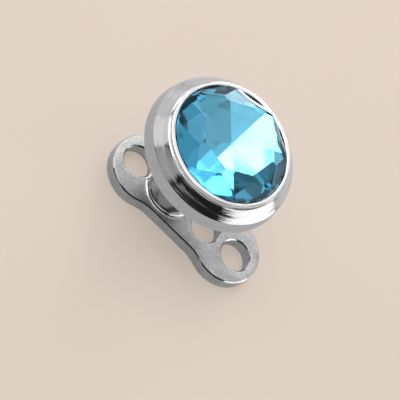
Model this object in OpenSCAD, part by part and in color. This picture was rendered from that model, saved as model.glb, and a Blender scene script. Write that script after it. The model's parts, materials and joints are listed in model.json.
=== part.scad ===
// Dermal anchor with a jewelled top: a footplate with a hollow post, and a round cup with a cut stone on a stud.
// Millimetres, +Z up along the post, origin on the post's axis at the footplate's underside,
// +X towards the end of the footplate that has two holes.

/* [Footplate] */
// Thickness of the footplate
plate_t = 0.5; // [0.35:0.05:0.8]
// Flat left on each side of the post, at the waist
waist_margin = 0.2; // [0.15:0.01:0.4]
// How far each round end swells past the waist, on each side
lobe_swell = 0.2; // [0.1:0.01:0.4]
// Radius of the hollow curve between the waist and each round end
neck_r = 1.5; // [0.8:0.1:2]
// Diameter of the three holes
hole_d = 1.04; // [0.7:0.02:1.3]
// Metal between the post and the hole at the short end
short_gap = 0.08; // [0.05:0.01:0.5]
// Metal between the post and the nearest hole of the long end
long_gap = 0.29; // [0.15:0.01:0.6]
// Metal between the two holes of the long end
hole_gap = 0.28; // [0.15:0.01:0.6]
// Metal between the outer holes and the tips
tip_wall = 0.33; // [0.2:0.01:0.6]
// Broken edge round the footplate, its holes, the post and the cup
edge_break = 0.04; // [0.02:0.01:0.06]

/* [Post] */
// Height of the post above the footplate
post_h = 3; // [2.4:0.1:4]
// Wall of the post round its bore
post_wall = 0.2; // [0.15:0.01:0.4]
// Radius of the fillet at the foot of the post
post_fillet = 0.15; // [0.05:0.01:0.3]

/* [Stud] */
// Diameter over the crests of the stud's thread
stud_d = 1.12; // [0.8:0.02:1.4]
// Length of the stud below the cup
stud_l = 1.6; // [1:0.1:2]
// Distance from one thread crest to the next
thread_pitch = 0.25; // [0.2:0.01:0.35]
// Depth of the thread
thread_depth = 0.08; // [0.04:0.01:0.12]
// Running clearance between the stud and its bore, on the radius
bore_gap = 0.04; // [0.02:0.01:0.08]
// Room left in the bore below the stud
bore_end_gap = 0.3; // [0.1:0.05:0.5]
// Gap between the top of the post and the cup
seat_gap = 0.01; // [0.01:0.01:0.05]

/* [Cup] */
// Metal under the middle of the stone's seat
floor_t = 0.45; // [0.15:0.01:0.6]
// Width of the lip round the stone
lip_w = 0.14; // [0.08:0.01:0.2]
// Height of the lip above the shoulder
lip_h = 0.13; // [0.11:0.01:0.25]
// Height of the lip above the girdle of the stone
lip_over = 0.03; // [0.01:0.01:0.06]
// Width and depth of the groove at the foot of the lip
lip_groove = 0.02; // [0.01:0.01:0.05]
// Width of the sloping shoulder between the groove and the band
shoulder_w = 0.35; // [0.2:0.01:0.8]
// Height of the sloping shoulder
shoulder_h = 0.34; // [0.15:0.01:0.45]
// How much the band narrows towards its top, on the radius
band_draft = 0.08; // [0:0.01:0.12]

/* [Stone] */
// Diameter of the stone
stone_d = 3.78; // [3.6:0.02:5]
// Clearance between the stone and the cup
stone_gap = 0.02; // [0.01:0.01:0.05]
// Main facets of the crown, and sides of the table above them
stone_sides = 8; // [5:1:8]
// Facets of the pavilion, below the girdle
pavilion_sides = 8; // [5:1:12]
// Turn of the stone in the cup, in degrees
stone_turn = 11; // [-30:1:30]
// Turn of the pavilion's facets from the crown's, in degrees
pavilion_turn = 6; // [0:1:22]
// Height of the crown, from the girdle to the table
crown_h = 0.49; // [0.4:0.01:0.6]
// Slope of the main facets of the crown, in degrees
crown_slope = 41; // [34:1:48]
// Width of the table across its sides
table_w = 2.28; // [1.8:0.02:2.4]
// Width of the small facets above the girdle, between the main facets
brow_w = 0.1; // [0.08:0.01:0.2]
// Thickness of the girdle
girdle_t = 0.18; // [0.06:0.01:0.3]
// Depth of the pavilion, from the girdle to the culet
pavilion_h = 0.25; // [0.2:0.01:0.5]
// Distance across the small flat at the bottom of the pavilion, the culet
culet_w = 0.1; // [0.06:0.01:0.3]

/* [Hidden] */
$fn = 72;
// How far cutters run past the faces that they cut
eps = 0.01;

// Stud, bore and post share one axis and follow the stud's diameter
stud_r = stud_d/2;
root_r = stud_r - thread_depth;
bore_r = stud_r + bore_gap;
bore_l = stud_l + bore_end_gap;
post_r = bore_r + post_wall;
post_top = plate_t + post_h;
cup_z = post_top + seat_gap;
// The fillet's foot stays on the flat beside the post
fillet_r = min(post_fillet, waist_margin - edge_break - eps);

// Half width of the waist, and the places of the holes and round ends along X
waist = post_r + waist_margin;
lobe_r = waist + lobe_swell;
hole_r = hole_d/2;
short_hole = -(post_r + short_gap + hole_r);
mid_hole = post_r + long_gap + hole_r;
long_hole = mid_hole + hole_d + hole_gap;
short_lobe = short_hole - hole_r - tip_wall + lobe_r;
long_lobe = long_hole + hole_r + tip_wall - lobe_r;
// Along X, from the centre of a round end to the centre of the hollow curve beside it
neck_x = sqrt(pow(neck_r + lobe_r, 2) - pow(neck_r + waist, 2));
// Half width where the hollow curve meets the round end
meet_y = lobe_r*(neck_r + waist)/(neck_r + lobe_r);

// Crests and roots of the thread follow each other up the stud, and a plain neck is left under the cup
thread_n = floor((stud_l - thread_pitch)/thread_pitch);
thread_z = cup_z - stud_l;
thread_points = [
    for (i = [0:thread_n - 1])
        for (half = [0, 1])
            [half == 0 ? root_r : stud_r, thread_z + (i + half/2)*thread_pitch]
];

// Radii of the cup, from the stone outwards
stone_r = stone_d/2;
pocket_r = stone_r + stone_gap;
lip_r = pocket_r + lip_w;
shoulder_r = lip_r + lip_groove;
band_top_r = shoulder_r + shoulder_w;
band_r = band_top_r + band_draft;
// Slope of the pavilion's facets, from the girdle to the culet
culet_r = culet_w/2;
pavilion_slope = atan(pavilion_h/(stone_r - culet_r));
// Heights of the stone from the floor upwards, then of the cup from the lip downwards
culet_z = cup_z + floor_t + stone_gap + culet_r*tan(pavilion_slope);
girdle_z = culet_z + pavilion_h;
crown_z = girdle_z + girdle_t;
table_z = crown_z + crown_h;
lip_z = crown_z + lip_over;
shoulder_z = lip_z - lip_h;
band_top_z = shoulder_z - shoulder_h;

// Slopes of the other facets, each from two places that its plane passes through
sector = 360/stone_sides;
brow_r = stone_r - brow_w;
brow_h = (stone_r - brow_r*cos(sector/2))*tan(crown_slope);
table_r = table_w/2;
star_slope = atan((crown_h - brow_h)/(brow_r - table_r));
brow_slope = atan(brow_h/brow_w);

// Section of a straight bar of the footplate: half width y, less at the broken edges
function bar_section(y, y_edge) = [
    [-y_edge, 0], [y_edge, 0],
    [y, edge_break], [y, plate_t - edge_break],
    [y_edge, plate_t], [-y_edge, plate_t],
    [-y, plate_t - edge_break], [-y, edge_break]
];

// A straight bar of the footplate from x0 to x1
module bar(x0, x1, y, y_edge) {
    translate([x0, 0, 0])
        rotate([90, 0, 90])
            linear_extrude(x1 - x0)
                polygon(bar_section(y, y_edge));
}

// Round end of the footplate, with its edges broken
module disc() {
    cylinder(h = edge_break, r1 = lobe_r - edge_break, r2 = lobe_r);
    translate([0, 0, edge_break])
        cylinder(h = plate_t - 2*edge_break, r = lobe_r);
    translate([0, 0, plate_t - edge_break])
        cylinder(h = edge_break, r1 = lobe_r, r2 = lobe_r - edge_break);
}

// Cutter of radius r right through the footplate, which breaks both edges that it leaves
module through(r) {
    wide = r + edge_break + eps;
    translate([0, 0, -eps])
        cylinder(h = plate_t + 2*eps, r = r);
    translate([0, 0, -eps])
        cylinder(h = edge_break + eps, r1 = wide, r2 = r);
    translate([0, 0, plate_t - edge_break])
        cylinder(h = edge_break + eps, r1 = r, r2 = wide);
}

// Round end at x with the flare that joins it to the waist; side is 1 at the long end and -1 at the short end
module lobe(x, side) {
    neck = x - side*neck_x;
    translate([x, 0, 0])
        disc();
    difference() {
        bar(min(x, neck), max(x, neck), meet_y, meet_y*(1 - edge_break/lobe_r));
        for (s = [-1, 1])
            translate([neck, s*(neck_r + waist), 0])
                through(neck_r);
    }
}

module footplate() {
    lobe(short_lobe, -1);
    lobe(long_lobe, 1);
    bar(short_lobe + neck_x, long_lobe - neck_x, waist, waist - edge_break);
}

// Post and fillet as one turned profile, which starts inside the footplate
module post() {
    rotate_extrude()
        difference() {
            polygon([
                [0, plate_t/2], [post_r + fillet_r, plate_t/2],
                [post_r + fillet_r, plate_t], [post_r, plate_t + fillet_r],
                [post_r, post_top - edge_break], [post_r - edge_break, post_top], [0, post_top]
            ]);
            translate([post_r + fillet_r, plate_t + fillet_r])
                circle(fillet_r);
        }
}

// Blind bore for the stud, with a broken edge at its mouth
module bore() {
    translate([0, 0, post_top - bore_l])
        cylinder(h = bore_l + eps, r = bore_r);
    translate([0, 0, post_top - edge_break])
        cylinder(h = edge_break + eps, r1 = bore_r, r2 = bore_r + edge_break + eps);
}

module anchor() {
    color([0.64, 0.65, 0.66])
        difference() {
            union() {
                footplate();
                post();
            }
            for (x = [short_hole, mid_hole, long_hole])
                translate([x, 0, 0]) {
                    through(hole_r);
                    cylinder(h = plate_t + fillet_r, r = hole_r);
                }
            bore();
        }
}

// Stud under the cup, with ring grooves for its thread
module stud() {
    rotate_extrude()
        polygon(concat(
            [[0, thread_z]], thread_points,
            [[root_r, thread_z + thread_n*thread_pitch], [root_r, cup_z + floor_t/2], [0, cup_z + floor_t/2]]
        ));
}

// Height of the conical seat at radius r, which follows the edges between the pavilion's facets
function seat_z(r) = cup_z + floor_t + r*cos(180/pavilion_sides)*tan(pavilion_slope);

// Half section of the cup round its axis, with a round bead along the top of its lip
module cup_section() {
    bead_r = lip_w/2;
    bead_z = lip_z - bead_r;
    polygon([
        [0, cup_z], [band_r - edge_break, cup_z], [band_r, cup_z + edge_break],
        [band_top_r, band_top_z], [shoulder_r, shoulder_z],
        [shoulder_r, shoulder_z - lip_groove], [lip_r, shoulder_z - lip_groove],
        [lip_r, bead_z], [pocket_r, bead_z],
        [pocket_r, seat_z(pocket_r)], [0, seat_z(0)]
    ]);
    intersection() {
        translate([pocket_r + bead_r, bead_z])
            circle(bead_r);
        translate([pocket_r, bead_z])
            square([lip_w, lip_w]);
    }
}

module cup() {
    color([0.74, 0.74, 0.75]) {
        rotate_extrude()
            cup_section();
        stud();
    }
}

// A ring of facets as a cone with flat sides, from the height of the culet to that of the table.
// The flats pass at radius r and height z, and lean inwards as they rise; a negative slope leans outwards.
module facets(sides, turn, slope, r, z) {
    half = 180/sides;
    rotate([0, 0, turn + half])
        translate([0, 0, culet_z])
            cylinder(
                h = table_z - culet_z,
                r1 = (r + (z - culet_z)/tan(slope))/cos(half),
                r2 = (r - (table_z - z)/tan(slope))/cos(half),
                $fn = sides
            );
}

// Unturned, a main facet of the crown faces -Y
module crystal() {
    color([0.36, 0.74, 0.88])
        rotate([0, 0, stone_turn - 90])
            intersection() {
                translate([0, 0, culet_z])
                    cylinder(h = table_z - culet_z, r = stone_r);
                facets(stone_sides, 0, crown_slope, stone_r, crown_z);
                facets(stone_sides, sector/2, star_slope, table_r, table_z);
                facets(stone_sides, sector/2, brow_slope, stone_r, crown_z);
                facets(pavilion_sides, pavilion_turn, -pavilion_slope, stone_r, girdle_z);
            }
}

anchor();
cup();
crystal();
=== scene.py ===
import json
import math

import bmesh
import bpy
import numpy as np
from bpy.props import FloatProperty, FloatVectorProperty, PointerProperty
from bpy.types import Operator, Panel, PropertyGroup
from mathutils import Matrix, Vector
from mathutils.geometry import delaunay_2d_cdt


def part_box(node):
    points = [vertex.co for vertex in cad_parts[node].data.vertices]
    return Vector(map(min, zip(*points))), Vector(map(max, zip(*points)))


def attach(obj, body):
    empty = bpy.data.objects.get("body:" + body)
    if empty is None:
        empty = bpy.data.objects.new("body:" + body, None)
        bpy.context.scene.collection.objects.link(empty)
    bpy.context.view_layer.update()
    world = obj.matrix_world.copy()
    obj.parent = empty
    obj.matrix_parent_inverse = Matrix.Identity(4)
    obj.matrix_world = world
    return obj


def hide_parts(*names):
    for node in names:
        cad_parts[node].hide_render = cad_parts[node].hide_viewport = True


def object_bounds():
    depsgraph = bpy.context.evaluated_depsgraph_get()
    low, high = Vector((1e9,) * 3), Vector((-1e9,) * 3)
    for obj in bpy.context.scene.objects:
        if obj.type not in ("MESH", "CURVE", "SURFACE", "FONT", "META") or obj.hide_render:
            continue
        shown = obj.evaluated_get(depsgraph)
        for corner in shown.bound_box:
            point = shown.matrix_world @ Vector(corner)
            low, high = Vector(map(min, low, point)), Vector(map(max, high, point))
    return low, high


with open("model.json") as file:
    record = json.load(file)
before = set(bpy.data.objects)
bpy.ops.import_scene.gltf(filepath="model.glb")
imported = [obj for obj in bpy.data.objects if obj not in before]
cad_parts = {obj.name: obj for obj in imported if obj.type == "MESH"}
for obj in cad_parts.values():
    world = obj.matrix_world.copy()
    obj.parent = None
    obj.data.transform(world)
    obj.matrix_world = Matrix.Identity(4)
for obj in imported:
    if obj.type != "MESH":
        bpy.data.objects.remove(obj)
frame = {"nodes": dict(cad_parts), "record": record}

bl_info = {
    "name": "Dermal anchor with jewelled top",
    "version": (1, 0, 0),
    "blender": (4, 5, 0),
    "location": "View3D > Sidebar > Dermal anchor",
    "description": "Builds the looks of a dermal anchor round its CAD frame",
    "category": "Add Mesh",
}

MM = 0.001
CAD_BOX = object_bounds()
MOUNTS = {mount["name"]: mount for mount in frame["record"]["mounts"]}
ANCHOR_LOW, ANCHOR_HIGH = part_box("anchor")
CUP_LOW, CUP_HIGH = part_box("cup")
HOLE_NAMES = ("short_end_hole", "mid_hole", "long_end_hole")

# Points round a full turn of the turned pieces, of the stud and of a hole's edge
SIDES = 320
STUD_SIDES = 160
HOLE_SIDES = 128
# Rows of points up the thread
THREAD_ROWS = 180
# Steps along each kind of curve, and along the taller walls
EDGE_STEPS = 6
CORNER_STEPS = 5
LIP_STEPS = 8
END_STEPS = 60
HOLLOW_STEPS = 24
FILLET_STEPS = 12
WALL_STEPS = 16

# Points nearer to each other than this are one point
SAME_POINT = 1e-8
# Smooth faces that meet at more than this angle keep a sharp edge between them
SHARP_ANGLE = math.radians(60)
# Triangles that meet at less than this angle are one facet of the stone
FACET_ANGLE = math.radians(0.5)
# Edges of the stone that turn by more than this angle are worn
WORN_ANGLE = math.radians(8)

# Height of the cup's underside, which stands just clear of the post
SEAT_GAP = 0.01 * MM
CUP_FOOT = ANCHOR_HIGH.z + SEAT_GAP
# How far the stud reaches into the cup, and the width of the slope at its tip
STUD_OVERLAP = 0.02 * MM
STUD_TIP = 0.1 * MM
# The thread's wave is stretched and lowered by these and cut off at 0 and 1, so its crests and roots are flat
CREST_GAIN = 1.25
CREST_DROP = 0.1
# Plain neck left under the cup, as a share of the thread's run-out
NECK_SHARE = 0.6
# Least metal between the post's fillet and the flat beside a hole
FILLET_MARGIN = 0.004 * MM
# Radius of the corner at the band's top; that at the shoulder's top has half of it
SHOULDER_CORNER = 0.02 * MM
# Radius of the lip's corners, as a share of the lip's width
LIP_CORNER = 0.22
# Faces this near the middle height of a broken edge are polished, as a share of its width
POLISHED_SHARE = 0.45
# Faces whose middle is this little inside the band's top still have its finish
BAND_MARGIN = 0.01 * MM

# Refraction of the glass and the tint of its reflections
GLASS_IOR = 1.55
GLASS_TINT = (0.3, 0.65, 0.85, 1.0)
# Share of the floor's brightness that is its own glow, and how far the floor lies under the footplate
FLOOR_GLOW = 0.62
FLOOR_GAP = 0.002 * MM
BLACK = (0.0, 0.0, 0.0, 1.0)
# Numbers of the colour sockets of Blender's Mix node
MIX_A, MIX_B, MIX_RESULT = 6, 7, 2

# Soft boxes: name, azimuth and elevation of the middle in degrees, width and height in mm, brightness
SOFT_BOXES = (
    ("right_box", 89, 13, 122, 49, 1.45),
    ("left_box", -84, 31, 56, 58, 0.85),
    ("left_fill_box", -43, 50, 62, 72, 0.41),
    ("low_left_box", -121, 12, 76, 40, 0.70),
    ("left_back_box", -176, 20, 37, 60, 4.90),
    ("high_left_box", -156, 54, 25, 57, 4.20),
    ("top_box", -91, 71, 78, 92, 3.20),
    ("front_top_box", 28, 79, 126, 73, 0.84),
    ("right_back_box", 128, 29, 149, 94, 0.51),
    ("back_box", 173, 51, 24, 90, 1.20),
    ("low_back_box", -161, 29, 160, 101, 0.13),
    ("low_front_box", 17, 51, 69, 27, 0.49),
)
BOX_DISTANCE = 100 * MM


def length(name, description, default_mm):
    """A length property of the panel, with its default given in millimetres."""
    return FloatProperty(name=name, description=description, default=default_mm * MM, unit="LENGTH",
                         precision=6)


def degrees(name, description, default):
    """An angle property of the panel, with its default given in degrees."""
    return FloatProperty(name=name, description=description, default=math.radians(default), subtype="ANGLE")


def colour(name, description, default):
    """A colour property of the panel, in linear red, green and blue."""
    return FloatVectorProperty(name=name, description=description, default=default, subtype="COLOR",
                               min=0.0, max=1.0)


class PlateSettings(PropertyGroup):
    thickness: length("Thickness", "Thickness of the footplate", 0.5)
    edge: length("Broken edge", "Width of the broken edges round the plate and its holes", 0.045)
    waist: length("Waist", "Half width of the straight waist", 1.0)
    lobe: length("Round ends", "Radius of the round ends", 1.2)
    neck: length("Hollow curve", "Radius of the hollow curve beside each round end", 1.5)


class PostSettings(PropertyGroup):
    radius: length("Radius", "Outer radius of the post", 0.8)
    fillet: length("Fillet", "Radius of the fillet at the post's foot", 0.15)
    edge: length("Rounded edge", "Radius of the edges at the post's mouth", 0.04)
    bore: length("Bore", "Radius of the bore", 0.6)
    bore_depth: length("Bore depth", "Depth of the blind bore", 1.9)


class CupSettings(PropertyGroup):
    pocket: length("Pocket", "Radius of the pocket that holds the stone", 1.91)
    lip: length("Lip", "Width of the lip round the stone", 0.14)
    lip_height: length("Lip height", "Height of the lip above the shoulder", 0.13)
    groove: length("Groove", "Width and depth of the groove at the foot of the lip", 0.02)
    shoulder: length("Shoulder", "Width of the sloping shoulder", 0.35)
    shoulder_height: length("Shoulder height", "Height of the sloping shoulder", 0.34)
    draft: length("Draft", "How much the band narrows towards its top", 0.08)
    edge: length("Rounded edge", "Radius of the edge at the band's foot", 0.04)
    floor: length("Floor", "Metal under the middle of the seat", 0.45)
    seat_rise: length("Seat rise", "Height of the seat's rim above its middle", 0.24)


class StudSettings(PropertyGroup):
    radius: length("Radius", "Radius over the crests of the thread", 0.56)
    depth: length("Thread depth", "Depth of the thread", 0.08)
    pitch: length("Pitch", "Distance from one crest to the next", 0.25)
    run_out: length("Run-out", "Length over which the thread fades at its ends", 0.18)


class StoneSettings(PropertyGroup):
    bevel: length("Worn edge", "Width of the worn edges between the facets", 0.008)
    foil_slope: FloatProperty(
        name="Foil slope",
        description="Facets whose normal rises less than this have a foil back, the girdle included",
        default=0.2, min=-1.0, max=1.0)


class FinishSettings(PropertyGroup):
    tumbled: colour("Tumbled steel", "Colour of the footplate", (0.42, 0.42, 0.42))
    edges: colour("Polished edges", "Colour of the footplate's broken edges", (0.70, 0.70, 0.70))
    turned: colour("Turned steel", "Colour of the cup, the stud and the post's fillet", (0.70, 0.69, 0.69))
    # The post's wall is the same steel as its fillet, painted darker: this is painted shade, not a colour of
    # its own.
    post: colour("Post", "Colour of the post's wall, darker than its fillet", (0.33, 0.33, 0.33))
    satin: colour("Satin steel", "Colour of the cup's band", (0.52, 0.52, 0.52))
    glass: colour("Glass", "Colour of the stone's glass", (0.46, 0.87, 1.00))
    foil: colour("Foil", "Colour of the foil behind the stone", (0.43, 0.77, 0.91))
    floor: colour("Floor", "Colour of the floor", (0.675, 0.58, 0.504))
    floor_bounce: colour("Floor bounce", "Colour of the floor in reflections and in the light it returns",
                         (0.64, 0.64, 0.64))


class StageSettings(PropertyGroup):
    azimuth: degrees("Azimuth", "Camera azimuth", -11.10)
    elevation: degrees("Elevation", "Camera elevation", 53.07)
    roll: degrees("Roll", "Camera roll", 53.32)
    distance: length("Distance", "Camera distance from the foot of the post", 50.0)
    pan: length("Pan", "Camera shift to its right", 0.935)
    tilt: length("Tilt", "Camera shift to its top", -0.267)
    lens: FloatProperty(name="Lens", description="Focal length in millimetres", default=141.2)
    floor_size: length("Floor size", "Side of the square floor", 1000.0)
    fill: FloatProperty(name="Fill", description="Strength of the even light from all round", default=0.015,
                        min=0.0)


def full_turn(sides):
    """Even angles round a full turn."""
    return np.linspace(0, 2 * np.pi, sides, endpoint=False)


def eased(steps):
    """Shares from 0 to 1 that lie closer together near both ends: (1 - cos(pi t)) / 2 for even t."""
    return (1 - np.cos(np.pi * np.linspace(0, 1, steps + 1))) / 2


def arc(centre_x, centre_y, radius, start, end, steps):
    """Points on a circle: centre plus radius times cosine and sine of an angle.

    The angle goes evenly from start to end, in degrees."""
    angle = np.radians(np.linspace(start, end, steps + 1))
    return np.column_stack([centre_x + radius * np.cos(angle), centre_y + radius * np.sin(angle)])


def straight(start, end, steps):
    """Points on a line, closer together near both ends: start plus an eased share of end minus start."""
    return np.asarray(start) + eased(steps)[:, None] * (np.asarray(end) - np.asarray(start))


def rounded(before, corner, after, radius, steps=CORNER_STEPS):
    """A rounded corner: an arc that touches both of its lines.

    It touches each line at the radius divided by the tangent of half the corner's angle from the corner."""
    before, corner, after = (np.asarray(p, float) for p in (before, corner, after))
    back = (before - corner) / np.linalg.norm(before - corner)
    ahead = (after - corner) / np.linalg.norm(after - corner)
    half = math.acos(np.clip(back @ ahead, -1, 1)) / 2
    bisector = (back + ahead) / np.linalg.norm(back + ahead)
    centre = corner + bisector * radius / math.sin(half)
    first = corner + back * radius / math.tan(half) - centre
    last = corner + ahead * radius / math.tan(half) - centre
    share = np.linspace(0, 1, steps + 1)[:, None]
    mix = first * (1 - share) + last * share
    return centre + radius * mix / np.linalg.norm(mix, axis=1)[:, None]


def chain(*parts):
    """Joins runs of points into one, and drops each point that repeats the one before it."""
    points = np.vstack(parts)
    step = np.linalg.norm(np.diff(points, axis=0), axis=1)
    return points[np.concatenate([[True], step > SAME_POINT])]


def grid_faces(rows, columns):
    """Quads of a grid that closes on itself along its columns; row i, column j is vertex i * columns + j."""
    i, j = np.meshgrid(np.arange(rows - 1), np.arange(columns), indexing="ij")
    here = i * columns + j
    beside = i * columns + (j + 1) % columns
    return np.stack([here, beside, beside + columns, here + columns], -1).reshape(-1, 4)


def round_surface(radius, height, angle):
    """Rows of points round Z, x = r cos a, y = r sin a, z = h at each angle a, and the quads between them."""
    points = np.stack([radius * np.cos(angle), radius * np.sin(angle), height + 0 * angle], -1)
    return points.reshape(-1, 3), grid_faces(*points.shape[:2])


def turned(profile, sides=SIDES):
    """A profile of (radius, height) turned about Z."""
    return round_surface(profile[:, :1], profile[:, 1:], full_turn(sides))


def rim(points, normals, profile):
    """A closed outline carried along an edge profile of (inset, height).

    Each row is the outline minus the inset times its outward normals, at the profile's height."""
    inset, height = profile[:, 0], profile[:, 1]
    flat = points[None] - inset[:, None, None] * normals[None]
    z = np.broadcast_to(height[:, None, None], flat.shape[:2] + (1,))
    return np.concatenate([flat, z], -1).reshape(-1, 3), grid_faces(len(profile), len(points))


def outside(points, loop):
    """Whether each point lies outside a closed loop.

    A line from such a point towards +X crosses the loop an even number of times."""
    x, y = points[:, :1], points[:, 1:]
    start_x, start_y = loop.T
    end_x, end_y = np.roll(loop, -1, axis=0).T
    spans = (start_y > y) != (end_y > y)
    rise = np.where(end_y == start_y, 1, end_y - start_y)
    crossing = start_x + (y - start_y) * (end_x - start_x) / rise
    return (spans & (x < crossing)).sum(axis=1) % 2 == 0


def flat_face(outline, openings, z):
    """Triangles of a flat face at height z inside its closed outline and outside its openings."""
    loops = [outline] + openings
    points = np.vstack(loops)
    edges = []
    start = 0
    for loop in loops:
        index = np.arange(start, start + len(loop))
        edges += np.column_stack([index, np.roll(index, -1)]).tolist()
        start += len(loop)
    corners = [Vector(p) for p in points / MM]
    inside_only, tolerance = 1, 1e-6
    made, _, faces, *_ = delaunay_2d_cdt(corners, edges, [], inside_only, tolerance)
    flat = np.array(made) * MM
    faces = np.array(faces)
    centres = flat[faces].mean(axis=1)
    faces = faces[np.logical_and.reduce([outside(centres, opening) for opening in openings])]
    return np.column_stack([flat, np.full(len(flat), z)]), faces


def link_object(name, data):
    """A new object for its data, linked into the scene."""
    made = bpy.data.objects.new(name, data)
    bpy.context.scene.collection.objects.link(made)
    return made


def add_piece(name, surfaces, body, node, materials, pick=None):
    """Joins surfaces of (vertices, faces) into one closed smooth mesh, gives it its materials, parents it to
    its body and hides its CAD node.

    pick() gives the number of each face's material from the faces' centres; without it all have the first."""
    vertices, faces, start = [], [], 0
    for points, polygons in surfaces:
        vertices.append(points)
        faces += (np.asarray(polygons) + start).tolist()
        start += len(points)
    mesh = bpy.data.meshes.new(name)
    mesh.from_pydata(np.vstack(vertices).tolist(), [], faces)
    work = bmesh.new()
    work.from_mesh(mesh)
    bmesh.ops.remove_doubles(work, verts=work.verts, dist=SAME_POINT)
    bmesh.ops.dissolve_degenerate(work, edges=work.edges, dist=SAME_POINT)
    bmesh.ops.recalc_face_normals(work, faces=work.faces)
    work.to_mesh(mesh)
    work.free()
    mesh.shade_smooth()
    mesh.set_sharp_from_angle(angle=SHARP_ANGLE)
    if pick:
        centres = np.empty(3 * len(mesh.polygons), np.float32)
        mesh.polygons.foreach_get("center", centres)
        numbers = pick(centres.astype(float).reshape(-1, 3))
        mesh.polygons.foreach_set("material_index", numbers.astype(np.int32))
    return dress(link_object(name, mesh), body, node, materials)


def dress(piece, body, node, materials):
    """Gives a piece its materials, parents it to its body's empty and hides the CAD node that it stands for.

    Clearing the materials sets every face to the first one, so the faces' numbers are put back after it."""
    mesh = piece.data
    numbers = np.zeros(len(mesh.polygons), np.int32)
    mesh.polygons.foreach_get("material_index", numbers)
    mesh.materials.clear()
    for material in materials:
        mesh.materials.append(material)
    mesh.polygons.foreach_set("material_index", numbers)
    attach(piece, body)
    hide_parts(node)
    return piece


class NodeLayout:
    """Adds nodes to a tree and joins them; each input is a plain value or another node's output."""

    def __init__(self, tree):
        self.tree = tree

    def add(self, kind, settings=None, **inputs):
        """A node of a kind with its settings.

        Each input is named with underscores for its blanks, or by its number as i0."""
        node = self.tree.nodes.new(kind)
        for name, value in (settings or {}).items():
            setattr(node, name, value)
        for name, value in inputs.items():
            key = int(name[1:]) if name[0] == "i" and name[1:].isdigit() else name.replace("_", " ")
            self.put(node.inputs[key], value)
        return node

    def put(self, socket, value):
        """Sets a socket to a value, or links an output to it."""
        if isinstance(value, bpy.types.NodeSocket):
            self.tree.links.new(value, socket)
        else:
            socket.default_value = value

    def math(self, operation, *values):
        """One math node over numbers or outputs."""
        node = self.add("ShaderNodeMath", {"operation": operation})
        for socket, value in zip(node.inputs, values):
            self.put(socket, value)
        return node.outputs[0]

    def ramp(self, value, low, high, to_low=0.0, to_high=1.0):
        """Maps a value from one span to another, held at both ends."""
        return self.add("ShaderNodeMapRange", Value=value, From_Min=low, From_Max=high, To_Min=to_low,
                        To_Max=to_high).outputs[0]

    def noise(self, vector, scale, detail=2.0, roughness=0.5):
        """A noise value over a vector."""
        return self.add("ShaderNodeTexNoise", Vector=vector, Scale=scale, Detail=detail,
                        Roughness=roughness).outputs["Fac"]

    def mix_colour(self, share, a, b):
        """A colour between two colours."""
        node = self.add("ShaderNodeMix", {"data_type": "RGBA"})
        self.put(node.inputs["Factor"], share)
        self.put(node.inputs[MIX_A], a)
        self.put(node.inputs[MIX_B], b)
        return node.outputs[MIX_RESULT]

    def two_tones(self, share, rgb, factors):
        """A colour between rgb times the first factor and rgb times the second."""
        dark, light = (scaled_colour(rgb, factor) for factor in factors)
        return self.mix_colour(share, dark, light)


def scaled_colour(rgb, factor=1.0):
    """A colour times a factor, with full alpha."""
    return tuple(min(1.0, channel * factor) for channel in rgb) + (1.0,)


def made_once(name, make):
    """A material or node group by name, made by a function the first time it is asked for."""
    held = bpy.data.materials.get(name) or bpy.data.node_groups.get(name)
    return held or make()


def new_group(name, inputs, outputs):
    """An empty shader node group with its layout, its input node and its output node.

    Its inputs are numbers, given as (name, default), and so are its outputs, given by name."""
    group = bpy.data.node_groups.new(name, "ShaderNodeTree")
    for label, default in inputs:
        socket = group.interface.new_socket(label, in_out="INPUT", socket_type="NodeSocketFloat")
        socket.default_value = default
    for label in outputs:
        group.interface.new_socket(label, in_out="OUTPUT", socket_type="NodeSocketFloat")
    layout = NodeLayout(group)
    entry = layout.add("NodeGroupInput")
    leave = layout.add("NodeGroupOutput")
    return group, layout, entry, leave


def millimetres(layout):
    """Object coordinates in millimetres."""
    place = layout.add("ShaderNodeTexCoord").outputs["Object"]
    return layout.add("ShaderNodeVectorMath", {"operation": "SCALE"}, i0=place, Scale=1 / MM).outputs[0]


def turned_marks_group():
    """Fine rings left by a lathe round Z: noise over the unit circle and over radius minus height.

    The noise is far finer along the section than round the turn. Streaks are its broad part alone."""
    group, layout, entry, leave = new_group(
        "Turned marks", [("Marks per mm", 16.0), ("Length", 1.5)], ["Marks", "Streaks"])
    marks_per_mm = entry.outputs["Marks per mm"]
    broad_share, fine_height, least_radius = 0.3, 0.25, 1e-4
    place = layout.add("ShaderNodeSeparateXYZ", Vector=millimetres(layout))
    x, y, z = place.outputs
    squares = layout.math("ADD", layout.math("MULTIPLY", x, x), layout.math("MULTIPLY", y, y))
    radius = layout.math("SQRT", squares)
    safe = layout.math("MAXIMUM", radius, least_radius)
    along = layout.math("SUBTRACT", radius, z)

    def rings(per_mm, reach):
        """The point (x / r, y / r) times the reach, and radius minus height times the marks per mm."""
        round_x = layout.math("MULTIPLY", layout.math("DIVIDE", x, safe), reach)
        round_y = layout.math("MULTIPLY", layout.math("DIVIDE", y, safe), reach)
        across = layout.math("MULTIPLY", along, per_mm)
        return layout.add("ShaderNodeCombineXYZ", X=round_x, Y=round_y, Z=across).outputs[0]

    fine = layout.noise(rings(marks_per_mm, entry.outputs["Length"]), scale=1.0, detail=3.0, roughness=0.7)
    broad_per_mm = layout.math("MULTIPLY", marks_per_mm, broad_share)
    broad = layout.noise(rings(broad_per_mm, reach=1.0), scale=1.0)
    layout.put(leave.inputs["Marks"], layout.math("MULTIPLY_ADD", fine, fine_height, broad))
    layout.put(leave.inputs["Streaks"], layout.ramp(broad, low=0.35, high=0.7))
    return group


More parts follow.
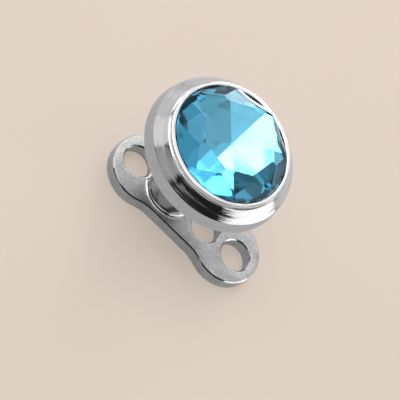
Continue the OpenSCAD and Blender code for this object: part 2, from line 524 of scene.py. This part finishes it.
def tumbled_grain_group():
    """Grain of metal tumbled with grit: fine noise for its height and specks, broad noise for its mottling.

    Small sparse dings are where the distance to the middle of a cell is least."""
    group, layout, entry, leave = new_group(
        "Tumbled grain", [("Grains per mm", 14.0), ("Dings per mm", 2.2)],
        ["Height", "Specks", "Mottle", "Dings"])
    grains_per_mm = entry.outputs["Grains per mm"]
    broad_share = 0.22
    place = millimetres(layout)
    fine = layout.noise(place, grains_per_mm, detail=3.0, roughness=0.6)
    broad_per_mm = layout.math("MULTIPLY", grains_per_mm, broad_share)
    broad = layout.noise(place, broad_per_mm, detail=3.0, roughness=0.6)
    cells = layout.add("ShaderNodeTexVoronoi", Vector=place, Scale=entry.outputs["Dings per mm"])
    dings = layout.ramp(cells.outputs["Distance"], low=0.02, high=0.09, to_low=1.0, to_high=0.0)
    layout.put(leave.inputs["Height"], fine)
    layout.put(leave.inputs["Specks"], layout.ramp(fine, low=0.35, high=0.65))
    layout.put(leave.inputs["Mottle"], layout.ramp(broad, low=0.3, high=0.7))
    layout.put(leave.inputs["Dings"], dings)
    return group


def turned_marks(layout):
    """The turned marks placed in a material, as the group's outputs."""
    group = made_once("Turned marks", turned_marks_group)
    return layout.add("ShaderNodeGroup", {"node_tree": group}).outputs


def tumbled_grain(layout, **values):
    """The tumbled grain placed in a material with its own values, as the group's outputs."""
    group = made_once("Tumbled grain", tumbled_grain_group)
    return layout.add("ShaderNodeGroup", {"node_tree": group}, **values).outputs


def finishes():
    """The colours that the panel holds."""
    return bpy.context.scene.finish_settings


def new_material(name):
    """An empty material, its layout and its Principled shader."""
    material = bpy.data.materials.new(name)
    material.use_nodes = True
    layout = NodeLayout(material.node_tree)
    return material, layout, material.node_tree.nodes["Principled BSDF"]


def new_metal(name):
    """An empty material whose Principled shader is metal, its layout and its shader."""
    material, layout, shader = new_material(name)
    layout.put(shader.inputs["Metallic"], 1.0)
    return material, layout, shader


def lay_finish(layout, shader, rgb, tones, tone, roughness, wear, strength, depth, height):
    """Gives a shader its varied colour, roughness and bump.

    The colour is rgb times a factor that goes from the first of tones to the second as tone goes from 0 to 1.
    The roughness goes from its first value to its second as wear does. The bump's depth is in metres."""
    layout.put(shader.inputs["Base Color"], layout.two_tones(tone, rgb, tones))
    layout.put(shader.inputs["Roughness"], layout.ramp(wear, 0, 1, *roughness))
    bump = layout.add("ShaderNodeBump", Strength=strength, Distance=depth, Height=height)
    layout.put(shader.inputs["Normal"], bump.outputs[0])


def tumbled_steel():
    """Steel of the footplate: mottled grey, with grain and small dings in its bump."""
    def make():
        material, layout, shader = new_metal("Tumbled steel")
        grain = tumbled_grain(layout)
        specks_share = 0.6
        mottle = layout.math("MULTIPLY", grain["Mottle"], 1 - specks_share)
        lay_finish(
            layout, shader, finishes().tumbled,
            tones=(0.7, 1.3), tone=layout.math("MULTIPLY_ADD", grain["Specks"], specks_share, mottle),
            roughness=(0.3, 0.44), wear=grain["Mottle"],
            strength=0.8, depth=8e-6, height=layout.math("SUBTRACT", grain["Height"], grain["Dings"]))
        return material
    return made_once("Tumbled steel", make)


def polished_edge():
    """Edges of the footplate, which tumbling has polished more than its faces."""
    def make():
        material, layout, shader = new_metal("Polished edge")
        grain = tumbled_grain(layout)
        lay_finish(
            layout, shader, finishes().edges,
            tones=(0.85, 1.15), tone=grain["Mottle"],
            roughness=(0.1, 0.2), wear=grain["Specks"],
            strength=0.8, depth=2e-6, height=grain["Height"])
        return material
    return made_once("Polished edge", make)


def turned_steel(name, rgb):
    """Steel off the lathe, by name and colour: fine rings in its bump, colour and roughness."""
    def make():
        material, layout, shader = new_metal(name)
        marks = turned_marks(layout)
        grain = tumbled_grain(layout, Grains_per_mm=20.0)
        grain_height = 0.03
        lay_finish(
            layout, shader, rgb,
            tones=(0.9, 1.1), tone=marks["Streaks"],
            roughness=(0.08, 0.17), wear=marks["Streaks"],
            strength=1.0, depth=1e-5,
            height=layout.math("MULTIPLY_ADD", grain["Height"], grain_height, marks["Marks"]))
        return material
    return made_once(name, make)


def bright_steel():
    """Turned steel of the cup, the stud and the post's fillet."""
    return turned_steel("Turned steel", finishes().turned)


def satin_steel():
    """Satin steel of the cup's band: fine grain over faint rings."""
    def make():
        material, layout, shader = new_metal("Satin steel")
        marks = turned_marks(layout)
        grain = tumbled_grain(layout, Grains_per_mm=18.0)
        marks_height = 0.5
        lay_finish(
            layout, shader, finishes().satin,
            tones=(0.88, 1.12), tone=grain["Specks"],
            roughness=(0.32, 0.42), wear=marks["Streaks"],
            strength=0.8, depth=4e-6,
            height=layout.math("MULTIPLY_ADD", marks["Marks"], marks_height, grain["Height"]))
        return material
    return made_once("Satin steel", make)


def aqua_glass():
    """Clear aqua glass of the stone's table and crown, with the faintest polishing marks."""
    def make():
        material, layout, shader = new_material("Aqua glass")
        grain = tumbled_grain(layout, Grains_per_mm=6.0)
        layout.put(shader.inputs["Transmission Weight"], 1.0)
        layout.put(shader.inputs["IOR"], GLASS_IOR)
        layout.put(shader.inputs["Specular Tint"], GLASS_TINT)
        lay_finish(
            layout, shader, finishes().glass,
            tones=(0.97, 1.0), tone=grain["Mottle"],
            roughness=(0.0, 0.05), wear=grain["Dings"],
            strength=0.05, depth=1e-7, height=grain["Height"])
        return material
    return made_once("Aqua glass", make)


def foil_back():
    """Lacquered foil behind the pavilion and girdle: a blue mirror with slight waves and mottling."""
    def make():
        material, layout, shader = new_metal("Foil back")
        rgb = finishes().foil
        grain = tumbled_grain(layout, Grains_per_mm=9.0)
        layout.put(shader.inputs["Specular Tint"], scaled_colour(rgb))
        lay_finish(
            layout, shader, rgb,
            tones=(0.93, 1.04), tone=grain["Mottle"],
            roughness=(0.03, 0.09), wear=grain["Mottle"],
            strength=0.05, depth=2e-7, height=grain["Height"])
        return material
    return made_once("Foil back", make)


def floor_paint():
    """Matt pale floor with the faintest mottling, which glows a little as a light table does.

    It is a plain grey in reflections, so that the steel stays neutral."""
    material, layout, shader = new_material("Pale floor")
    patches_per_metre = 60.0
    patches = layout.noise(layout.add("ShaderNodeTexCoord").outputs["Object"], patches_per_metre)
    seen = layout.two_tones(patches, finishes().floor, (0.985, 1.015))
    direct = layout.add("ShaderNodeLightPath").outputs["Is Camera Ray"]
    tone = layout.mix_colour(direct, scaled_colour(finishes().floor_bounce), seen)
    layout.put(shader.inputs["Base Color"], layout.mix_colour(FLOOR_GLOW, tone, BLACK))
    layout.put(shader.inputs["Emission Color"], tone)
    layout.put(shader.inputs["Emission Strength"], FLOOR_GLOW)
    layout.put(shader.inputs["Roughness"], 0.9)
    layout.put(shader.inputs["Specular IOR Level"], 0.1)
    return material


def hole_centres():
    """Places of the holes along X and their radius, from the record's mounts."""
    places = [MOUNTS[name]["pos_m"][0] for name in HOLE_NAMES]
    return places, MOUNTS[HOLE_NAMES[0]]["dims"]["r_mm"] * MM


def plate_outline(plate):
    """The footplate's outline and outward normals, anticlockwise: round ends, hollow curves and a waist.

    Each curve is an arc: point = centre + radius (cos a, sin a); its normal is (cos a, sin a), or minus that
    where the curve is hollow. The lower half is the upper half's mirror image across X."""
    axis_y = plate.neck + plate.waist
    reach = math.sqrt((plate.neck + plate.lobe) ** 2 - axis_y ** 2)
    meet = math.degrees(math.atan2(axis_y, reach))
    long_x = ANCHOR_HIGH.x - plate.lobe
    short_x = ANCHOR_LOW.x + plate.lobe
    end = arc(long_x, 0, plate.lobe, 0, 180 - meet, END_STEPS)
    hollow = arc(long_x - reach, axis_y, plate.neck, -meet, -90, HOLLOW_STEPS)
    waist = straight((long_x - reach, plate.waist), (short_x + reach, plate.waist), HOLLOW_STEPS)
    far_hollow = arc(short_x + reach, axis_y, plate.neck, -90, meet - 180, HOLLOW_STEPS)
    far_end = arc(short_x, 0, plate.lobe, meet, 180, END_STEPS)
    runs = [(end, (long_x, 0), 1), (hollow, (long_x - reach, axis_y), -1), (waist, None, 1),
            (far_hollow, (short_x + reach, axis_y), -1), (far_end, (short_x, 0), 1)]
    points, normals = [], []
    for run, centre, sign in runs:
        if centre is None:
            outward = np.tile([0.0, 1.0], (len(run), 1))
        else:
            outward = sign * (run - np.array(centre))
            outward /= np.linalg.norm(outward, axis=1)[:, None]
        points.append(run[:-1])
        normals.append(outward[:-1])
    upper = np.vstack(points + [far_end[-1:]])
    upper_normals = np.vstack(normals + [[[-1.0, 0.0]]])
    mirror = np.array([1.0, -1.0])
    lower = (upper * mirror)[-2:0:-1]
    lower_normals = (upper_normals * mirror)[-2:0:-1]
    return np.vstack([upper, lower]), np.vstack([upper_normals, lower_normals])


def plate_edge(thickness, width):
    """Edge profile of (inset, height): from the top face down a broken edge, down the wall and in by another.

    A broken edge is a straight slope of 45 degrees, with a small arc at both of its ends."""
    soft = width / 3
    path = [(2 * width, thickness), (width, thickness), (0, thickness - width), (0, thickness / 2)]
    upper = [rounded(*path[0:3], soft), rounded(*path[1:4], soft)]
    lower = [np.column_stack([part[::-1, 0], thickness - part[::-1, 1]]) for part in reversed(upper)]
    wall = straight(upper[1][-1], lower[0][0], steps=8)
    return chain(upper[0], upper[1], wall, lower[0], lower[1])


def circle(x, radius):
    """Points of a circle on the X axis, and their directions from its centre."""
    angle = full_turn(HOLE_SIDES)
    outward = np.column_stack([np.cos(angle), np.sin(angle)])
    return np.array([x, 0]) + radius * outward, outward


def plate_surfaces(plate):
    """The footplate as rims round its outline and holes, and flat faces between them."""
    places, hole = hole_centres()
    edge = plate_edge(plate.thickness, plate.edge)
    outline, outward = plate_outline(plate)
    surfaces = [rim(outline, outward, edge)]
    inset = edge[0, 0]
    openings = []
    for x in places:
        points, away = circle(x, hole)
        surfaces.append(rim(points, -away, edge))
        openings.append(points + inset * away)
    for z in (plate.thickness, 0.0):
        surfaces.append(flat_face(outline - inset * outward, openings, z))
    return surfaces


def fillet_widths(post, plate, angle):
    """Width of the post's fillet at each angle: its own radius, or what is left before the nearest hole.

    A line from the post's axis meets a circle of radius e at x along X where its length is
    x cos a - sqrt(e^2 - (x sin a)^2)."""
    places, hole = hole_centres()
    edge = hole + plate_edge(plate.thickness, plate.edge)[0, 0]
    width = np.full(len(angle), float(post.fillet))
    for x in places:
        along = x * np.cos(angle)
        inside = edge ** 2 - (x * np.sin(angle)) ** 2
        near = np.where((inside > 0) & (along > 0), along - np.sqrt(np.maximum(inside, 0)), np.inf)
        width = np.minimum(width, near - post.radius - FILLET_MARGIN)
    return width


def post_surfaces(plate, post):
    """The post from its closed foot out to its fillet, up its wall, over its mouth and down its bore.

    At angle a the fillet has width f(a): r = R + f(1 - sin t), z = T + f(1 - cos t) for t from 0 to 90
    degrees. The wall then runs straight up, and the mouth and bore are a turned profile."""
    angle = full_turn(SIDES)
    top = ANCHOR_HIGH.z
    width = fillet_widths(post, plate, angle)[None]
    t = np.radians(np.linspace(0, 90, FILLET_STEPS + 1))[:, None]
    fillet_r = post.radius + width * (1 - np.sin(t))
    fillet_z = plate.thickness + width * (1 - np.cos(t))
    fillet_top = plate.thickness + width
    wall_z = fillet_top + eased(WALL_STEPS)[1:, None] * (top - post.edge - fillet_top)
    radius = np.vstack([0 * width, fillet_r, np.full(wall_z.shape, post.radius)])
    height = np.vstack([0 * width + plate.thickness, fillet_z, wall_z])
    mouth = chain(
        arc(post.radius - post.edge, top - post.edge, post.edge, 0, 90, EDGE_STEPS),
        arc(post.bore + post.edge, top - post.edge, post.edge, 90, 180, EDGE_STEPS),
        straight((post.bore, top - post.edge), (post.bore, top - post.bore_depth), WALL_STEPS),
        straight((post.bore, top - post.bore_depth), (0, top - post.bore_depth), steps=6),
    )
    return [round_surface(radius, height, angle), turned(mouth)]


def cup_profile(cup):
    """Section of the cup: out under the band, up the band and shoulder, over the lip and down to the seat.

    It is a chain of straight runs and arcs. The lip is flat on top with round corners."""
    edge = cup.edge
    bead = cup.lip * LIP_CORNER
    lip_top = CUP_HIGH.z
    lip_r = cup.pocket + cup.lip
    shoulder_r = lip_r + cup.groove
    band_top_r = shoulder_r + cup.shoulder
    band_r = band_top_r + cup.draft
    shoulder_z = lip_top - cup.lip_height
    groove_z = shoulder_z - cup.groove
    band_top_z = shoulder_z - cup.shoulder_height
    seat_z = CUP_FOOT + cup.floor
    seat_rim_z = seat_z + cup.seat_rise
    band_foot = (band_r, CUP_FOOT + edge)
    band_top = (band_top_r, band_top_z)
    shoulder_top = (shoulder_r, shoulder_z)
    groove = (shoulder_r, groove_z)
    band_corner = rounded(band_foot, band_top, shoulder_top, SHOULDER_CORNER)
    shoulder_corner = rounded(band_top, shoulder_top, groove, SHOULDER_CORNER / 2)
    return chain(
        straight((0, CUP_FOOT), (band_r - edge, CUP_FOOT), steps=24),
        arc(band_r - edge, CUP_FOOT + edge, edge, -90, 0, EDGE_STEPS),
        straight(band_foot, band_corner[0], WALL_STEPS),
        band_corner,
        straight(band_corner[-1], shoulder_corner[0], WALL_STEPS),
        shoulder_corner,
        straight(shoulder_corner[-1], groove, steps=3),
        straight(groove, (lip_r, groove_z), steps=3),
        straight((lip_r, groove_z), (lip_r, lip_top - bead), steps=8),
        arc(lip_r - bead, lip_top - bead, bead, 0, 90, LIP_STEPS),
        straight((lip_r - bead, lip_top), (cup.pocket + bead, lip_top), steps=3),
        arc(cup.pocket + bead, lip_top - bead, bead, 90, 180, LIP_STEPS),
        straight((cup.pocket, lip_top - bead), (cup.pocket, seat_rim_z), steps=6),
        straight((cup.pocket, seat_rim_z), (0, seat_z), steps=12),
    )


def stud_surfaces(stud):
    """The threaded stud, with a sloping tip below and a flat end inside the cup.

    At angle a and height z its radius is the root plus the thread's depth times a wave of z / pitch - a / 360
    degrees, which fades to the root at both ends."""
    low = CUP_LOW.z
    high = CUP_FOOT + STUD_OVERLAP
    root = stud.radius - stud.depth
    tip = chain(straight((0, low), (root - STUD_TIP, low), steps=4),
                straight((root - STUD_TIP, low), (root, low + STUD_TIP), steps=4))
    z = np.linspace(low + STUD_TIP, high, THREAD_ROWS)[:, None]
    angle = full_turn(STUD_SIDES)[None]
    wave = 0.5 - 0.5 * np.cos(2 * np.pi * (z - low) / stud.pitch - angle)
    crest = np.clip(wave * CREST_GAIN - CREST_DROP, 0, 1)
    rise = np.clip((z - z[0]) / stud.run_out, 0, 1)
    fall = np.clip((high - z) / stud.run_out - NECK_SHARE, 0, 1)
    radius = root + stud.depth * crest * (rise * fall)
    end = straight((root, high), (0, high), steps=4)
    return [turned(tip, STUD_SIDES), round_surface(radius, z, angle), turned(end, STUD_SIDES)]


def cut_stone(stone):
    """The stone: a merged copy of its CAD solid with flat facets and slightly worn edges.

    Facets that face sideways or down, at the girdle and pavilion, have the second material."""
    mesh = frame["nodes"]["crystal"].data.copy()
    mesh.name = "stone"
    work = bmesh.new()
    work.from_mesh(mesh)
    bmesh.ops.remove_doubles(work, verts=work.verts, dist=SAME_POINT)
    bmesh.ops.dissolve_limit(work, angle_limit=FACET_ANGLE, verts=work.verts, edges=work.edges)
    for face in work.faces:
        face.smooth = False
        face.material_index = 1 if face.normal.z < stone.foil_slope else 0
    work.to_mesh(mesh)
    work.free()
    piece = link_object("stone", mesh)
    bevel = piece.modifiers.new("Worn edges", "BEVEL")
    bevel.width = stone.bevel
    bevel.segments = 2
    bevel.limit_method = "ANGLE"
    bevel.angle_limit = WORN_ANGLE
    return piece


class DERMAL_OT_footplate(Operator):
    """Builds the footplate with its round ends and holes"""
    bl_idname = "dermal.footplate"
    bl_label = "Footplate"

    def execute(self, context):
        plate = context.scene.plate_settings

        def pick(centres):
            """The second material on the broken edges of the top and of the underside."""
            z = centres[:, 2]
            from_top = np.abs(z - plate.thickness + plate.edge / 2)
            from_foot = np.abs(z - plate.edge / 2)
            return np.minimum(from_top, from_foot) < plate.edge * POLISHED_SHARE

        add_piece("footplate", plate_surfaces(plate), "base", "anchor",
                  [tumbled_steel(), polished_edge()], pick)
        return {"FINISHED"}


class DERMAL_OT_post(Operator):
    """Builds the hollow post with its fillet"""
    bl_idname = "dermal.post"
    bl_label = "Post"

    def execute(self, context):
        plate = context.scene.plate_settings
        post = context.scene.post_settings
        fillet_top = plate.thickness + post.fillet

        def pick(centres):
            """The second material, the bright turned steel, on the fillet; the wall keeps the first, the same
            steel painted darker as shade.
            """
            return centres[:, 2] < fillet_top

        # The wall has a darker copy of the turned steel, which is painted shade; the fillet has the bright
        # turned steel.
        add_piece("post", post_surfaces(plate, post), "base", "anchor",
                  [turned_steel("Post steel with painted shade", finishes().post), bright_steel()], pick)
        return {"FINISHED"}


class DERMAL_OT_cup(Operator):
    """Builds the turned cup"""
    bl_idname = "dermal.cup"
    bl_label = "Cup"

    def execute(self, context):
        cup = context.scene.cup_settings
        band_foot = CUP_FOOT + cup.edge
        band_top = CUP_HIGH.z - cup.lip_height - cup.shoulder_height
        inner = cup.pocket + cup.lip + cup.groove + cup.shoulder - BAND_MARGIN

        def pick(centres):
            """The second material on the band."""
            on_band = np.hypot(centres[:, 0], centres[:, 1]) > inner
            return on_band & (centres[:, 2] > band_foot) & (centres[:, 2] < band_top)

        add_piece("cup_shell", [turned(cup_profile(cup))], "top", "cup",
                  [bright_steel(), satin_steel()], pick)
        return {"FINISHED"}


class DERMAL_OT_stud(Operator):
    """Builds the threaded stud under the cup"""
    bl_idname = "dermal.stud"
    bl_label = "Stud"

    def execute(self, context):
        add_piece("stud", stud_surfaces(context.scene.stud_settings), "top", "cup",
                  [bright_steel()])
        return {"FINISHED"}


class DERMAL_OT_stone(Operator):
    """Builds the cut stone with its foil back"""
    bl_idname = "dermal.stone"
    bl_label = "Stone"

    def execute(self, context):
        dress(cut_stone(context.scene.stone_settings), "top", "crystal",
              [aqua_glass(), foil_back()])
        return {"FINISHED"}


def direction(azimuth, elevation):
    """Unit vector towards an azimuth and elevation in radians; azimuth 0 is -Y and a quarter turn is +X."""
    level = math.cos(elevation)
    return Vector((math.sin(azimuth) * level, -math.cos(azimuth) * level, math.sin(elevation)))


def add_soft_box(name, azimuth, elevation, width, height, brightness):
    """A soft box that faces the object: its power is its brightness times pi times its area."""
    light = bpy.data.lights.new(name, "AREA")
    light.shape = "RECTANGLE"
    light.size = width * MM
    light.size_y = height * MM
    light.energy = brightness * math.pi * light.size * light.size_y
    lamp = link_object(name, light)
    towards = direction(math.radians(azimuth), math.radians(elevation))
    middle = (CAD_BOX[0] + CAD_BOX[1]) / 2
    lamp.location = middle + towards * BOX_DISTANCE
    lamp.rotation_mode = "QUATERNION"
    lamp.rotation_quaternion = (-towards).to_track_quat("-Z", "Y")


def add_camera(stage, thickness):
    """The camera: it looks at the foot of the post, on top of the plate's thickness.

    It is turned to its azimuth and elevation, rolled about its line of sight and moved in its own frame."""
    back = direction(stage.azimuth, stage.elevation)
    level = Vector((math.cos(stage.azimuth), math.sin(stage.azimuth), 0))
    over = back.cross(level)
    right = math.cos(stage.roll) * level + math.sin(stage.roll) * over
    up = back.cross(right)
    foot = Vector((0, 0, thickness))
    place = foot + stage.distance * back + stage.pan * right + stage.tilt * up
    data = bpy.data.cameras.new("camera")
    data.lens = stage.lens
    data.sensor_width = 36.0
    data.clip_start = MM
    data.clip_end = 10.0
    camera = link_object("camera", data)
    turn = Matrix((right, up, back)).transposed()
    camera.matrix_world = Matrix.Translation(place) @ turn.to_4x4()
    bpy.context.scene.camera = camera


def add_floor(stage):
    """The floor: one square just under the footplate."""
    half, z = stage.floor_size / 2, -FLOOR_GAP
    corners = [(-half, -half, z), (half, -half, z), (half, half, z), (-half, half, z)]
    mesh = bpy.data.meshes.new("floor")
    mesh.from_pydata(corners, [], [(0, 1, 2, 3)])
    mesh.materials.append(floor_paint())
    floor = link_object("floor", mesh)


def studio_world(fill):
    """Faint even light from all round.

    The camera itself sees the tone of the far floor instead, so that no horizon shows."""
    world = bpy.data.worlds.new("studio")
    world.use_nodes = True
    layout = NodeLayout(world.node_tree)
    direct = layout.add("ShaderNodeLightPath").outputs["Is Camera Ray"]
    backdrop = scaled_colour(finishes().floor, FLOOR_GLOW)
    sky = world.node_tree.nodes["Background"]
    layout.put(sky.inputs["Color"], layout.mix_colour(direct, (fill, fill, fill, 1.0), backdrop))
    return world


class DERMAL_OT_stage(Operator):
    """Builds the floor, the soft lights and the camera"""
    bl_idname = "dermal.stage"
    bl_label = "Stage"

    def execute(self, context):
        stage = context.scene.stage_settings
        add_floor(stage)
        for box in SOFT_BOXES:
            add_soft_box(*box)
        context.scene.world = studio_world(stage.fill)
        context.scene.view_settings.view_transform = "Standard"
        add_camera(stage, context.scene.plate_settings.thickness)
        return {"FINISHED"}


class DERMAL_PT_panel(Panel):
    """Lists the pieces of the dermal anchor"""
    bl_idname = "DERMAL_PT_panel"
    bl_label = "Dermal anchor"
    bl_space_type = "VIEW_3D"
    bl_region_type = "UI"
    bl_category = "Dermal anchor"

    def draw(self, context):
        for name, _ in SETTINGS:
            box = self.layout.box()
            group = getattr(context.scene, name)
            for key in group.__annotations__:
                box.prop(group, key)
        for operator in OPERATORS:
            self.layout.operator(operator.bl_idname)


SETTINGS = (
    ("plate_settings", PlateSettings),
    ("post_settings", PostSettings),
    ("cup_settings", CupSettings),
    ("stud_settings", StudSettings),
    ("stone_settings", StoneSettings),
    ("finish_settings", FinishSettings),
    ("stage_settings", StageSettings),
)
OPERATORS = (
    DERMAL_OT_footplate,
    DERMAL_OT_post,
    DERMAL_OT_cup,
    DERMAL_OT_stud,
    DERMAL_OT_stone,
    DERMAL_OT_stage,
)


def register():
    """Registers the settings, the operators and the panel."""
    for name, group in SETTINGS:
        bpy.utils.register_class(group)
        setattr(bpy.types.Scene, name, PointerProperty(type=group))
    for operator in OPERATORS:
        bpy.utils.register_class(operator)
    bpy.utils.register_class(DERMAL_PT_panel)


def unregister():
    """Takes away what register() added, in the opposite order."""
    bpy.utils.unregister_class(DERMAL_PT_panel)
    for operator in reversed(OPERATORS):
        bpy.utils.unregister_class(operator)
    for name, group in reversed(SETTINGS):
        delattr(bpy.types.Scene, name)
        bpy.utils.unregister_class(group)


def main():
    """Builds every piece and the stage."""
    register()
    bpy.ops.dermal.footplate()
    bpy.ops.dermal.post()
    bpy.ops.dermal.cup()
    bpy.ops.dermal.stud()
    bpy.ops.dermal.stone()
    bpy.ops.dermal.stage()


if __name__ == "__main__":
    main()
